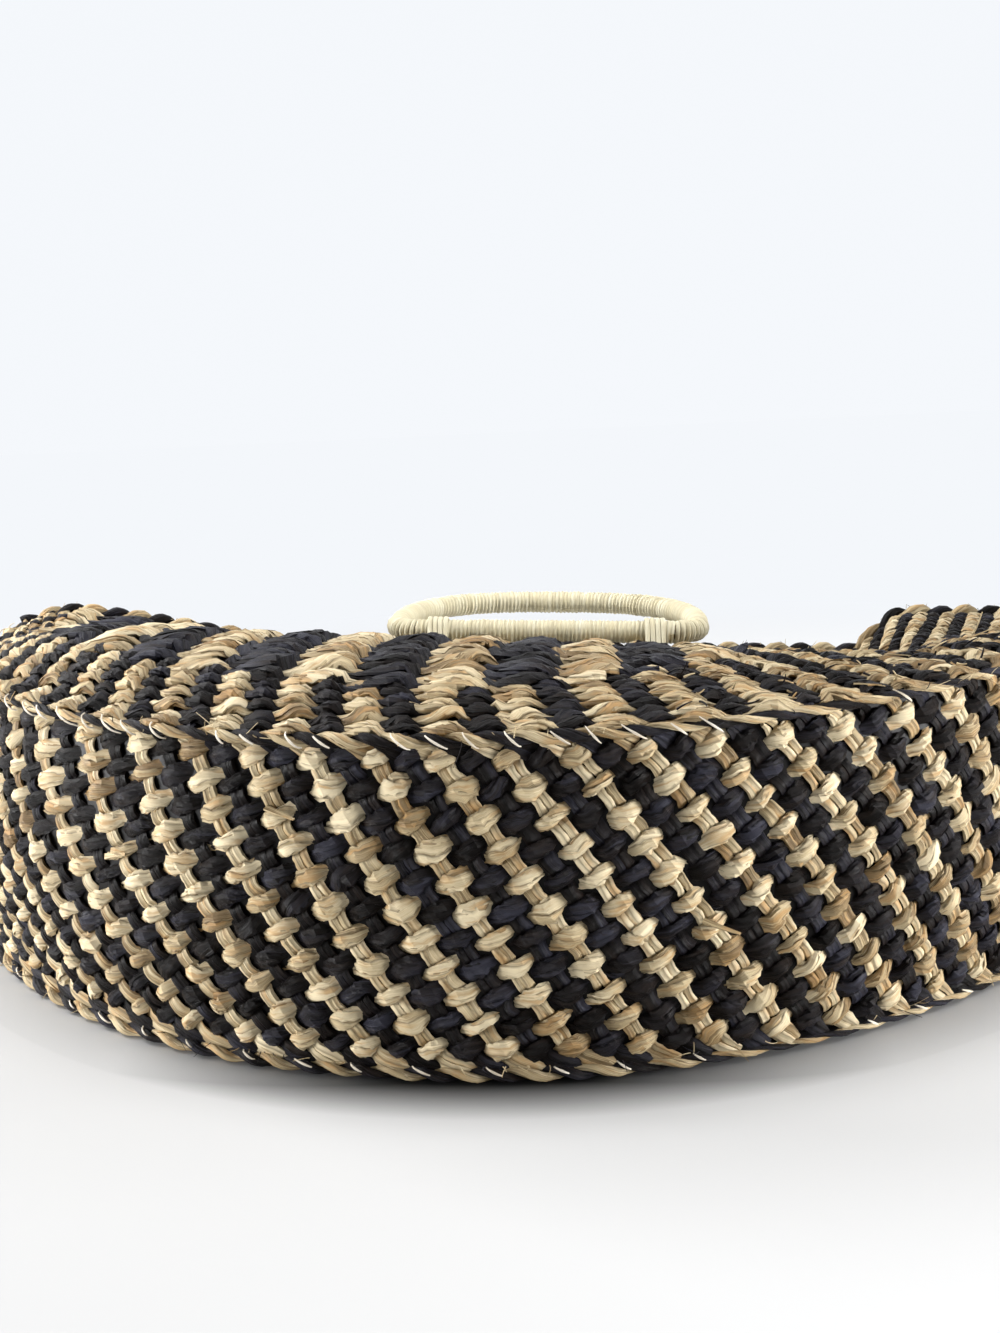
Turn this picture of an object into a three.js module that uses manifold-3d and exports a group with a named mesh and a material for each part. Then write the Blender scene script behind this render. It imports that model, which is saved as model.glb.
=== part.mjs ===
// Plaited straw beach tote with two D handles, lying on its back panel with the base towards -Y
import * as THREE from "three";
import { mergeVertices } from "three/addons/utils/BufferGeometryUtils.js";
import Module from "manifold-3d";

const wasm = await Module();
wasm.setup();
const { clamp, degToRad, lerp, smoothstep } = THREE.MathUtils;

// Bag outline, middle of the plait
const HALF_WIDTH = 300;
const ROUND_DEPTH = 345;
const STRAIGHT_SIDE = 20;
const HEIGHT = ROUND_DEPTH + STRAIGHT_SIDE;

// Plaited sheets and the gaps between pieces
const WEAVE = 7;
const GAP = 0.3;
const SEAM_GAP = 0.5;
const GUSSET_AT_BASE = 121;
const GUSSET_AT_MOUTH = 87;
const GUSSET_BULGE = 5;
const TAPER_START = 110;

// Lie of the two panels
const MOUTH_LIFT = 15.5;
const LIFT_START = 240;
const CROWN_AT_BASE = 15.3;
const CROWN_AT_MOUTH = -0.6;
const CROWN_TILT = -0.07;
const MOUTH_TILT = -0.042;
const CROWN_FADE = 80;
const CROWN_START = 8;
const CROWN_REACH = 34;
const REACH_AT_MOUTH = 14;
const SAG = 26;
const SAG_START = 12;
const SAG_LEFT = [-330, -98];
const SAG_RIGHT = [169, 202];
const RIGHT_RECOVERY = 0.84;

// Rim rope and seam thread
const RIM_RADIUS = 5;
const RIM_END_GAP = 4;
const SEAM_RADIUS = 1.5;

// D handle, centre line of the rod
const ROD_RADIUS = 4;
const ROD_CLEARANCE = 0.7;
const WRAP_RADIUS = 6.8;
const BAR_HALF = 72;
const CORNER_RADIUS = 15;
const HANDLE_DEPTH = 97;
const ARCH_POWER = 2.6;
const HANDLE_HALF = BAR_HALF + CORNER_RADIUS;
const ARCH_STEPS = 60;
const BINDING_LENGTH = 8;
const ROD_BUTT_GAP = 1;

// Lashing that holds a handle bar to the rim
const TWINE_RADIUS = 1.2;
const LASH_TURNS = 4;
const LASH_PITCH = 3;
const LASH_STEPS = 24;
const LASH_CLEARANCE = 0.4;
const LASH_INSET = 10;
const LASH_X = BAR_HALF - LASH_INSET;
const BAR_CLEARANCE = 1.2;
const BAR_LEAN = degToRad(45);
const NOTCH_CLEARANCE = 1;

// Where the rim and the handle bars sit
const BAR_OFFSET = RIM_RADIUS + WRAP_RADIUS + BAR_CLEARANCE;
const RIM_Y = HEIGHT + GAP + RIM_RADIUS;
const BAR_OUT = BAR_OFFSET * Math.cos(BAR_LEAN);
const BAR_RISE = BAR_OFFSET * Math.sin(BAR_LEAN);

const straw = new THREE.MeshStandardMaterial({ color: 0xc2a877, roughness: 0.75 });
const dark = new THREE.MeshStandardMaterial({ color: 0x26262b, roughness: 0.6 });
const twine = new THREE.MeshStandardMaterial({ color: 0xd9cba3, roughness: 0.85 });
const rattan = new THREE.MeshStandardMaterial({ color: 0xb08a56, roughness: 0.6 });
const thread = new THREE.MeshStandardMaterial({ color: 0xe6dfc8, roughness: 0.8 });

// Heights of the sheets, measured at the middle of the plait
const backZ = (y) => WEAVE / 2 + MOUTH_LIFT * smoothstep(y, LIFT_START, HEIGHT);
const gussetHeight = (y) => lerp(GUSSET_AT_BASE, GUSSET_AT_MOUTH, smoothstep(y, TAPER_START, HEIGHT));
const borderZ = (y) => backZ(y) + WEAVE + 2 * SEAM_GAP + gussetHeight(y);

// How far a point lies inside the bag outline
function inset(x, y) {
  const up = Math.max(0, ROUND_DEPTH - y);
  const level = (x / HALF_WIDTH) ** 2 + (up / ROUND_DEPTH) ** 2 - 1;
  const slope = 2 * Math.hypot(x / HALF_WIDTH ** 2, up / ROUND_DEPTH ** 2);
  return -level / Math.max(slope, 1e-3);
}

// The front panel rounds up from its border and sags towards the middle of the mouth
function frontZ(x, y) {
  const inside = Math.max(0, inset(x, y) - CROWN_START);
  const reach = lerp(CROWN_REACH, REACH_AT_MOUTH, smoothstep(y, CROWN_FADE, HEIGHT));
  const swell = 1 - Math.exp(-inside / reach);
  const atBase = CROWN_AT_BASE + CROWN_TILT * x;
  const atMouth = CROWN_AT_MOUTH + MOUTH_TILT * x;
  const crown = lerp(atBase, atMouth, smoothstep(y, CROWN_FADE, HEIGHT));
  const along = clamp((y - SAG_START) / (HEIGHT - SAG_START), 0, 1);
  const left = smoothstep(x, SAG_LEFT[0], SAG_LEFT[1]);
  const right = 1 - RIGHT_RECOVERY * smoothstep(x, SAG_RIGHT[0], SAG_RIGHT[1]);
  return borderZ(y) + swell * (crown - SAG * along * left * right);
}

// Outline of the rounded base, moved outwards by a given distance
function outlinePoint(angle, out) {
  const x = HALF_WIDTH * Math.sin(angle);
  const y = ROUND_DEPTH * (1 - Math.cos(angle));
  const nx = Math.sin(angle) * ROUND_DEPTH;
  const ny = -Math.cos(angle) * HALF_WIDTH;
  const length = Math.hypot(nx, ny);
  return new THREE.Vector2(x + (out * nx) / length, y + (out * ny) / length);
}

// The whole U from one mouth corner round the base to the other
function outline(out, count) {
  const points = [new THREE.Vector2(-HALF_WIDTH - out, HEIGHT)];
  for (let i = 0; i <= count; i++) {
    points.push(outlinePoint(Math.PI * (i / count - 0.5), out));
  }
  points.push(new THREE.Vector2(HALF_WIDTH + out, HEIGHT));
  return points;
}

// Closed solid between two grids of points that face each other
function gridSolid(over, under) {
  const columns = over.length;
  const rows = over[0].length;
  const points = [...over.flat(), ...under.flat()];
  const half = columns * rows;
  const index = [];
  const quad = (a, b, c, d) => index.push(a, b, c, a, c, d);
  const at = (i, j) => i * rows + j;
  for (let i = 0; i + 1 < columns; i++) {
    for (let j = 0; j + 1 < rows; j++) {
      const [a, b, c, d] = [at(i, j), at(i + 1, j), at(i + 1, j + 1), at(i, j + 1)];
      quad(a, b, c, d);
      quad(half + d, half + c, half + b, half + a);
    }
    const far = rows - 1;
    quad(half + at(i, 0), half + at(i + 1, 0), at(i + 1, 0), at(i, 0));
    quad(at(i, far), at(i + 1, far), half + at(i + 1, far), half + at(i, far));
  }
  for (let j = 0; j + 1 < rows; j++) {
    const last = columns - 1;
    quad(at(0, j), at(0, j + 1), half + at(0, j + 1), half + at(0, j));
    quad(half + at(last, j), half + at(last, j + 1), at(last, j + 1), at(last, j));
  }
  const geometry = new THREE.BufferGeometry().setFromPoints(points);
  geometry.setIndex(index);
  return geometry;
}

// A panel in columns that run from the outline to the mouth
function panelGeometry(height, rows, count) {
  const border = outline(WEAVE / 2, count).slice(1, -1);
  const grid = (side) =>
    border.map((p) =>
      rows.map((part) => {
        const y = lerp(p.y, HEIGHT, part);
        return new THREE.Vector3(p.x, y, height(p.x, y) + side * (WEAVE / 2));
      }),
    );
  return gridSolid(grid(1), grid(-1));
}

// The gusset strip that joins the two panels
function gussetGeometry(count, rows) {
  const grid = (side) => {
    const levels = [];
    for (let j = 0; j <= rows; j++) {
      const belly = GUSSET_BULGE * Math.sin((Math.PI * j) / rows);
      levels.push(outline(belly + (side * WEAVE) / 2, count));
    }
    return levels[0].map((_, i) =>
      levels.map((level, j) => {
        const p = level[i];
        const low = backZ(p.y) + WEAVE / 2 + SEAM_GAP;
        const high = borderZ(p.y) - WEAVE / 2 - SEAM_GAP;
        return new THREE.Vector3(p.x, p.y, lerp(low, high, j / rows));
      }),
    );
  };
  return gridSolid(grid(1), grid(-1));
}

// Round tube along a smooth line of points
function tube(points, radius, steps, sides, bore = 0) {
  const section = new THREE.Shape().absarc(0, 0, radius, 0, 2 * Math.PI);
  if (bore) section.holes.push(new THREE.Path().absarc(0, 0, bore, 0, 2 * Math.PI, true));
  const extrudePath = new THREE.CatmullRomCurve3(points);
  const options = { steps, curveSegments: sides / 2, bevelEnabled: false, extrudePath };
  return new THREE.ExtrudeGeometry(section, options);
}

// Boolean difference of two geometries
function solid(geometry) {
  const bare = new THREE.BufferGeometry();
  bare.setAttribute("position", geometry.getAttribute("position").clone());
  if (geometry.index) bare.setIndex(geometry.index.clone());
  const merged = mergeVertices(bare, 1e-3);
  const vertProperties = new Float32Array(merged.getAttribute("position").array);
  const triVerts = new Uint32Array(merged.index.array);
  return new wasm.Manifold(new wasm.Mesh({ numProp: 3, vertProperties, triVerts }));
}

function cut(geometry, tools) {
  let left = solid(geometry);
  for (const tool of tools) left = left.subtract(solid(tool));
  const mesh = left.getMesh();
  const result = new THREE.BufferGeometry();
  result.setAttribute("position", new THREE.BufferAttribute(mesh.vertProperties, 3));
  result.setIndex(new THREE.BufferAttribute(mesh.triVerts, 1));
  return result;
}

const tote = new THREE.Group();
function add(parent, name, geometry, material) {
  const mesh = new THREE.Mesh(geometry, material);
  mesh.name = name;
  parent.add(mesh);
  return mesh;
}

// Notches in the mouth edges that let the lashings through
const lashWidth = LASH_TURNS * LASH_PITCH + 2 * TWINE_RADIUS;
const lashReach = RIM_RADIUS + LASH_CLEARANCE + 2 * TWINE_RADIUS;
const notchDepth = lashReach - (RIM_Y - HEIGHT) + NOTCH_CLEARANCE;
const notches = [-LASH_X, LASH_X].map((x) =>
  new THREE.BoxGeometry(lashWidth + 2 * NOTCH_CLEARANCE, 2 * notchDepth, 2 * HEIGHT).translate(x, HEIGHT, 0),
);

// Panels and gusset
const OUTLINE_STEPS = 40;
const PANEL_ROWS = [0, 0.02, 0.05, 0.1, 0.18, 0.3, 0.44, 0.6, 0.78, 1];
add(tote, "front_panel", cut(panelGeometry(frontZ, PANEL_ROWS, OUTLINE_STEPS), notches), straw);
add(tote, "back_panel", cut(panelGeometry((x, y) => backZ(y), PANEL_ROWS, OUTLINE_STEPS), notches), straw);
add(tote, "gusset", gussetGeometry(OUTLINE_STEPS, 4), dark);

// Seam threads along the two edges of the gusset
function seamPoints(height) {
  const p = outline(WEAVE / 2 + SEAM_GAP + SEAM_RADIUS, OUTLINE_STEPS);
  return p.map((q) => new THREE.Vector3(q.x, q.y, height(q.y)));
}
const frontSeamZ = (y) => borderZ(y) - WEAVE / 2 - SEAM_GAP / 2;
const backSeamZ = (y) => backZ(y) + WEAVE / 2 + SEAM_GAP / 2;
add(tote, "front_seam", tube(seamPoints(frontSeamZ), SEAM_RADIUS, 60, 6), thread);
add(tote, "back_seam", tube(seamPoints(backSeamZ), SEAM_RADIUS, 60, 6), thread);

// Rope rims round the mouth
function rimPoints(height, count) {
  const reach = HALF_WIDTH + WEAVE / 2;
  return Array.from({ length: count + 1 }, (_, i) => {
    const x = lerp(-reach, reach, i / count);
    return new THREE.Vector3(x, RIM_Y, height(clamp(x, -HALF_WIDTH, HALF_WIDTH), HEIGHT));
  });
}
const rimLow = backZ(HEIGHT) + RIM_RADIUS + GAP;
const rimHigh = borderZ(HEIGHT) - RIM_RADIUS - RIM_END_GAP;
const sideRim = (x) => [rimLow, rimHigh].map((z) => new THREE.Vector3(x, RIM_Y, z));
add(tote, "front_rim", tube(rimPoints(frontZ, 36), RIM_RADIUS, 36, 8), dark);
add(tote, "back_rim", tube(rimPoints((x, y) => backZ(y), 2), RIM_RADIUS, 2, 8), dark);
add(tote, "left_rim", tube(sideRim(-HALF_WIDTH), RIM_RADIUS, 1, 8), dark);
add(tote, "right_rim", tube(sideRim(HALF_WIDTH), RIM_RADIUS, 1, 8), dark);

// Centre line of the D handle, broken where its two ends meet
function handleLine(gap, count) {
  const line = new THREE.Path().moveTo(LASH_X + gap / 2, 0).lineTo(BAR_HALF, 0);
  line.absarc(BAR_HALF, CORNER_RADIUS, CORNER_RADIUS, -Math.PI / 2, 0);
  for (let i = 1; i <= ARCH_STEPS; i++) {
    const angle = (Math.PI * i) / ARCH_STEPS;
    const across = Math.sign(Math.cos(angle)) * Math.abs(Math.cos(angle)) ** (2 / ARCH_POWER);
    const up = Math.abs(Math.sin(angle)) ** (2 / ARCH_POWER);
    line.lineTo(HANDLE_HALF * across, CORNER_RADIUS + (HANDLE_DEPTH - CORNER_RADIUS) * up);
  }
  line.absarc(-BAR_HALF, CORNER_RADIUS, CORNER_RADIUS, Math.PI, 1.5 * Math.PI);
  line.lineTo(LASH_X - gap / 2, 0);
  return line.getSpacedPoints(count).map((p) => new THREE.Vector3(p.x, p.y, 0));
}

// One handle: bent rod, twine winding and the binding over the joint of the rod
function addHandle(mouth, side, rise, tilt) {
  const handle = new THREE.Group();
  handle.position.set(0, BAR_OUT, rise);
  handle.rotation.x = tilt;
  mouth.add(handle);
  const bore = ROD_RADIUS + ROD_CLEARANCE;
  const half = BINDING_LENGTH / 2 - GAP;
  const ends = [-half, half].map((x) => new THREE.Vector3(LASH_X + x, 0, 0));
  add(handle, side + "_handle_core", tube(handleLine(ROD_BUTT_GAP, 60), ROD_RADIUS, 60, 6), rattan);
  add(handle, side + "_handle_wrap", tube(handleLine(BINDING_LENGTH, 60), WRAP_RADIUS, 60, 10, bore), twine);
  add(handle, side + "_handle_binding", tube(ends, WRAP_RADIUS, 1, 10, bore), twine);
}

// Closed belt round the rim rope and the handle bar, as seen along X
function beltPoints(lean) {
  const rimTurn = RIM_RADIUS + LASH_CLEARANCE + TWINE_RADIUS;
  const barTurn = WRAP_RADIUS + LASH_CLEARANCE + TWINE_RADIUS;
  const open = Math.acos((rimTurn - barTurn) / BAR_OFFSET);
  const bar = new THREE.Vector2(Math.cos(lean), Math.sin(lean)).multiplyScalar(BAR_OFFSET);
  const belt = new THREE.Path();
  belt.absarc(0, 0, rimTurn, lean + Math.PI, lean + 2 * Math.PI - open);
  belt.absarc(bar.x, bar.y, barTurn, lean - open, lean + open);
  belt.absarc(0, 0, rimTurn, lean + open, lean + Math.PI);
  return belt.getSpacedPoints(LASH_STEPS).slice(0, -1);
}

// Wound lashing of several turns, with its least gap to itself
function addLashing(mouth, name, x, lean) {
  const belt = beltPoints(lean);
  const start = x - (LASH_TURNS * LASH_PITCH) / 2;
  const points = [];
  for (let i = 0; i <= LASH_TURNS * LASH_STEPS; i++) {
    const p = belt[i % LASH_STEPS];
    points.push(new THREE.Vector3(start + (LASH_PITCH * i) / LASH_STEPS, p.x, p.y));
  }
  const tail = 2 * TWINE_RADIUS;
  const away = new THREE.Vector3(0, Math.sin(lean), -Math.cos(lean)).multiplyScalar(tail);
  points.unshift(points[0].clone().sub(away));
  points.push(points.at(-1).clone().add(away));
  let least = Infinity;
  points.forEach((p, i) => {
    for (let k = i + LASH_STEPS / 2; k < points.length; k++) {
      least = Math.min(least, p.distanceTo(points[k]) - 2 * TWINE_RADIUS);
    }
  });
  console.log(name + " least gap to itself " + least.toFixed(2) + " mm");
  add(mouth, name, tube(points, TWINE_RADIUS, points.length - 1, 6), twine);
}

// The pair of handles and their lashings, each pair on the line of its rim
function addMouth(side, z, slope, rise, tilt, lean) {
  const mouth = new THREE.Group();
  mouth.position.set(0, RIM_Y, z);
  mouth.rotation.y = -Math.atan(slope);
  tote.add(mouth);
  addHandle(mouth, side, rise, tilt);
  addLashing(mouth, side + "_left_lashing", -LASH_X, lean);
  addLashing(mouth, side + "_right_lashing", LASH_X, lean);
  return mouth;
}
const backRimZ = backZ(HEIGHT);
const backTilt = -Math.asin((backRimZ - BAR_RISE - WRAP_RADIUS) / HANDLE_DEPTH);
const frontMouth = addMouth("front", frontZ(0, HEIGHT), MOUTH_TILT, BAR_RISE, 0, BAR_LEAN);
const backMouth = addMouth("back", backRimZ, 0, -BAR_RISE, backTilt, -BAR_LEAN);

// Origin under the middle of the whole tote
const box = new THREE.Box3().setFromObject(tote);
const middle = box.getCenter(new THREE.Vector3());
tote.position.y = -middle.y;
tote.updateMatrixWorld(true);
for (const [mouth, rise] of [[frontMouth, BAR_RISE], [backMouth, -BAR_RISE]]) {
  const pivot = new THREE.Vector3(0, BAR_OUT, rise).applyMatrix4(mouth.matrixWorld);
  const axis = new THREE.Vector3(1, 0, 0).transformDirection(mouth.matrixWorld);
  console.log("hinge at " + pivot.toArray().map((v) => v.toFixed(3)) + ", axis " + axis.toArray().map((v) => v.toFixed(5)));
}

const part = new THREE.Group();
part.add(tote);
export default part;
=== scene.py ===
import math

import bpy
import numpy as np
from mathutils import Matrix, Vector


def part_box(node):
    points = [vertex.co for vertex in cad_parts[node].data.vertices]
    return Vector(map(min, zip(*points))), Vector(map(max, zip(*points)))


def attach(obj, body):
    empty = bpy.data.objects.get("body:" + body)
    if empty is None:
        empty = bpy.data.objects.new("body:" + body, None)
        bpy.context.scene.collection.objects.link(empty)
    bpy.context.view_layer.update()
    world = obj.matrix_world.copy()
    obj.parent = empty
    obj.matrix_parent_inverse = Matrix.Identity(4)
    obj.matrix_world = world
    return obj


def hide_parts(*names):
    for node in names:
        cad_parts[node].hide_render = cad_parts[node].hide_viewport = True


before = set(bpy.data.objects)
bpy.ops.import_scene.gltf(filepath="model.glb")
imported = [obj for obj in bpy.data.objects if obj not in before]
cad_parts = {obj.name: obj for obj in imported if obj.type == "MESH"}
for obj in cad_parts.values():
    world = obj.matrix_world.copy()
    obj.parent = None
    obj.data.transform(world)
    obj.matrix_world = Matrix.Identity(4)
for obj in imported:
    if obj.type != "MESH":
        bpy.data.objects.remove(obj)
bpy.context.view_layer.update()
rng = np.random.default_rng(11)
MM = 0.001
# Guards against division by zero
LEAST_SLOPE, LEAST_LENGTH, LEAST_STEP = 1e-3, 1e-9, 1e-6

# Sizes of the solids, in millimetres, with y measured from the base of the tote
HALF_WIDTH, ROUND_DEPTH, STRAIGHT_SIDE = 300.0, 345.0, 20.0
HEIGHT = ROUND_DEPTH + STRAIGHT_SIDE
WEAVE, SEAM_GAP, GAP = 7.0, 0.5, 0.3
GUSSET_AT_BASE, GUSSET_AT_MOUTH, GUSSET_BULGE, TAPER_START = 121.0, 87.0, 5.0, 110.0
MOUTH_LIFT, LIFT_START = 15.5, 240.0
CROWN_AT_BASE, CROWN_AT_MOUTH, CROWN_TILT, MOUTH_TILT = 15.3, -0.6, -0.07, -0.042
CROWN_FADE, CROWN_START, CROWN_REACH, REACH_AT_MOUTH = 80.0, 8.0, 34.0, 14.0
SAG, SAG_START, SAG_LEFT, SAG_RIGHT, RIGHT_RECOVERY = 26.0, 12.0, (-330.0, -98.0), (169.0, 202.0), 0.84
RIM_RADIUS, WRAP_RADIUS, TWINE_RADIUS = 5.0, 6.8, 1.2
BAR_HALF, CORNER_RADIUS, HANDLE_DEPTH, ARCH_POWER = 72.0, 15.0, 97.0, 2.6
LASH_X, LASH_TURNS, LASH_PITCH, LASH_CLEARANCE = 62.0, 4, 3.0, 0.4
BAR_GAP, BAR_LEAN = 1.2, math.radians(45)
BAR_OFFSET = RIM_RADIUS + WRAP_RADIUS + BAR_GAP
RIM_Y = HEIGHT + GAP + RIM_RADIUS
BAR_OUT, BAR_RISE = BAR_OFFSET * math.cos(BAR_LEAN), BAR_OFFSET * math.sin(BAR_LEAN)
BASE_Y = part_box("gusset")[0][1] / MM + GUSSET_BULGE + WEAVE / 2


def smoothstep(v, low, high):
    t = np.clip((v - low) / (high - low), 0, 1)
    return t * t * (3 - 2 * t)


def back_z(y):
    return WEAVE / 2 + MOUTH_LIFT * smoothstep(y, LIFT_START, HEIGHT)


def border_z(y):
    tall = GUSSET_AT_BASE + (GUSSET_AT_MOUTH - GUSSET_AT_BASE) * smoothstep(y, TAPER_START, HEIGHT)
    return back_z(y) + WEAVE + 2 * SEAM_GAP + tall


def inset(x, y):
    up = np.maximum(0, ROUND_DEPTH - y)
    level = (x / HALF_WIDTH) ** 2 + (up / ROUND_DEPTH) ** 2 - 1
    slope = 2 * np.hypot(x / HALF_WIDTH**2, up / ROUND_DEPTH**2)
    return -level / np.maximum(slope, LEAST_SLOPE)


def front_z(x, y):
    fade = smoothstep(y, CROWN_FADE, HEIGHT)
    reach = CROWN_REACH + (REACH_AT_MOUTH - CROWN_REACH) * fade
    swell = 1 - np.exp(-np.maximum(0, inset(x, y) - CROWN_START) / reach)
    at_base, at_mouth = CROWN_AT_BASE + CROWN_TILT * x, CROWN_AT_MOUTH + MOUTH_TILT * x
    crown = at_base + (at_mouth - at_base) * fade
    across = smoothstep(x, *SAG_LEFT) * (1 - RIGHT_RECOVERY * smoothstep(x, *SAG_RIGHT))
    along = np.clip((y - SAG_START) / (HEIGHT - SAG_START), 0, 1)
    return border_z(y) + swell * (crown - SAG * along * across)


# The U-shaped outline as a table over its length, with zero at the middle of the base
OUTLINE_POINTS = 801
turn = np.linspace(-math.pi / 2, math.pi / 2, OUTLINE_POINTS)
line_x = np.concatenate([[-HALF_WIDTH], HALF_WIDTH * np.sin(turn), [HALF_WIDTH]])
line_y = np.concatenate([[HEIGHT], ROUND_DEPTH * (1 - np.cos(turn)), [HEIGHT]])
out_x = np.concatenate([[-1], np.sin(turn) * ROUND_DEPTH, [1]])
out_y = np.concatenate([[0], -np.cos(turn) * HALF_WIDTH, [0]])
out_x, out_y = out_x / np.hypot(out_x, out_y), out_y / np.hypot(out_x, out_y)
line_at = np.concatenate([[0], np.cumsum(np.hypot(np.diff(line_x), np.diff(line_y)))])
line_at -= line_at[-1] / 2
HALF_LINE = line_at[-1]


def on_outline(along, out):
    table = [np.interp(along, line_at, v) for v in (line_x, line_y, out_x, out_y)]
    return table[0] + out * table[2], table[1] + out * table[3]


# Each sheet takes flat coordinates and gives points on its middle
def front_sheet(p, q):
    return np.stack([p, q, front_z(p, q)], -1)


def back_sheet(p, q):
    return np.stack([p, q, back_z(q)], -1)


# The stripes of the gusset drift along its length, and tilt and bow from seam to seam:
# one row of coefficients each, by rising power of the place along the gusset
DRIFT = ((10.66, 9.28, -3.22, 10.93, -12.12), (-2.44, 1.08, -0.43, 10.54), (-2.89, -10.0, 15.13))
DRIFT_REACH, DRIFT_PAST = 180, 1.1
SKEW, SKEW_FROM, SKEW_LIMITS = 0.0008, 100, (-150, 380)


def skewed(p, q):
    p = p + SKEW * np.clip(SKEW_FROM - p, *SKEW_LIMITS) * (q - GUSSET_AT_BASE / 2)
    u, v = np.clip(p / DRIFT_REACH, -1, 1), np.clip(2 * q / GUSSET_AT_BASE - 1, -DRIFT_PAST, DRIFT_PAST)
    even, tilt, bow = (sum(c * u**k for k, c in enumerate(row)) for row in DRIFT)
    return p + even + tilt * v + bow * v * v


def gusset_sheet(p, q):
    part = q / GUSSET_AT_BASE
    p = np.clip(skewed(p, q), -HALF_LINE, HALF_LINE)
    x, y = on_outline(p, GUSSET_BULGE * np.sin(np.clip(part, 0, 1) * math.pi))
    low, high = back_z(y) + WEAVE / 2 + SEAM_GAP, border_z(y) - WEAVE / 2 - SEAM_GAP
    return np.stack([x, y, low + (high - low) * part], -1)


def unit(v):
    return v / np.maximum(np.linalg.norm(v, axis=-1, keepdims=True), LEAST_LENGTH)


def normal_on(sheet, p, q, facing):
    step = 0.5
    du = sheet(p + step, q) - sheet(p - step, q)
    dv = sheet(p, q + step) - sheet(p, q - step)
    return facing * unit(np.cross(du, dv))


# A growing mesh of strands, each made of one or more plies carried along a path
class Strands:
    # How far the plies of a strand differ in turn, reach and tone
    PLY_TURN, PLY_REACH, PLY_TONE = 0.22, 0.12, 0.13
    # Where a strand lies in the grain of its material
    GRAIN_ALONG, GRAIN_DEPTH, PLY_STEP, GIRTH, LEAST_HALF = 500, 40, 7, 6.3, 0.3
    # The sides of a ply that take painted crease shade
    CREASE_FROM = 0.9
    # The underside is pressed flat on the floor
    LOWEST = 0.1

    def __init__(self):
        self.points, self.faces, self.count = [], [], 0
        self.marks, self.edges, self.tones = [], [], []

    def add(
        self, path, up, half_width, half_thick, twist=0.0,
        plies=1, sides=6, off=0.0, radial=1.0, tangent=1.0, tone=0.5, rough=0.0,
    ):
        n = len(path)
        row = lambda v: np.broadcast_to(np.asarray(v, float), (n,))[:, None, None]
        ahead = unit(np.gradient(path, axis=0))
        side = unit(np.cross(up, ahead))
        over = np.cross(ahead, side)
        odd = rng.normal(0, 1, (2, 1, plies, 1)) * (plies > 1) * (rough > 0)
        phi = row(twist) + (2 * math.pi * np.arange(plies) / plies)[None, :, None] + self.PLY_TURN * odd[0]
        beta = (2 * math.pi * (np.arange(sides) + 0.5) / sides)[None, None, :]
        c, s = np.cos(phi), np.sin(phi)
        crumple = 1 + rough * rng.normal(0, 1, (n, plies, sides))
        out = off * (1 + self.PLY_REACH * odd[1]) + radial * np.cos(beta) * crumple
        turn = tangent * np.sin(beta) * crumple
        a, b = row(half_width) * (out * c - turn * s), row(half_thick) * (out * s + turn * c)
        path_at, side_at, over_at = (v[:, None, None, :] for v in (path, side, over))
        ring = path_at + side_at * a[..., None] + over_at * b[..., None]
        run = np.concatenate([[0], np.cumsum(np.linalg.norm(np.diff(path, axis=0), axis=1))])
        mark = np.zeros((n, plies, sides, 3))
        mark[..., 0] = run[:, None, None] + rng.uniform(0, self.GRAIN_ALONG)
        around = (np.arange(sides) / sides)[None, None, :] + self.PLY_STEP * np.arange(plies)[None, :, None]
        mark[..., 1] = around * self.GIRTH * max(float(np.mean(half_width)), self.LEAST_HALF) * tangent
        mark[..., 2] = rng.uniform(0, self.GRAIN_DEPTH, (1, plies, 1))
        shade = row(tone) + self.PLY_TONE * rng.normal(size=(1, plies, 1)) + np.zeros((1, 1, sides))
        # The sides of each ply, marked for painted shade in the material
        edge = np.broadcast_to((np.abs(np.sin(beta)) > self.CREASE_FROM) * 1.0, (n, plies, sides))
        i, p, j = np.meshgrid(np.arange(n - 1), np.arange(plies), np.arange(sides), indexing="ij")
        first, wide = self.count, plies * sides
        ply = first + i * wide + p * sides
        v0, v1 = ply + j, ply + (j + 1) % sides
        self.faces.extend(np.stack([v0, v1, v1 + wide, v0 + wide], -1).reshape(-1, 4).tolist())
        for k in range(plies):
            start = first + k * sides
            self.faces.append(list(range(start + sides - 1, start - 1, -1)))
            start += (n - 1) * wide
            self.faces.append(list(range(start, start + sides)))
        self.points.append(ring.reshape(-1, 3))
        self.marks.append(mark.reshape(-1, 3))
        self.edges.append(edge.reshape(-1))
        self.tones.append(shade.reshape(-1))
        self.count += n * wide

    def build(self, name, material, body, slot, node=None, sharp=40):
        points = np.concatenate(self.points)
        points[:, 1] += BASE_Y
        points[:, 2] = np.maximum(points[:, 2], self.LOWEST)
        mesh = bpy.data.meshes.new(name)
        mesh.from_pydata((points * MM).tolist(), [], self.faces)
        mark = mesh.attributes.new("strand", "FLOAT_VECTOR", "POINT")
        mark.data.foreach_set("vector", np.concatenate(self.marks).astype(np.float32).ravel())
        for label, values in (("crease_shade", self.edges), ("tone", self.tones)):
            values = np.concatenate(values).astype(np.float32)
            mesh.attributes.new(label, "FLOAT", "POINT").data.foreach_set("value", values)
        mesh.shade_smooth()
        mesh.set_sharp_from_angle(angle=math.radians(sharp))
        mesh.materials.append(material)
        obj = bpy.data.objects.new(name, mesh)
        bpy.context.scene.collection.objects.link(obj)
        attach(obj, body)
        if node:
            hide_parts(*([node] if isinstance(node, str) else node))
        return obj
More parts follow.
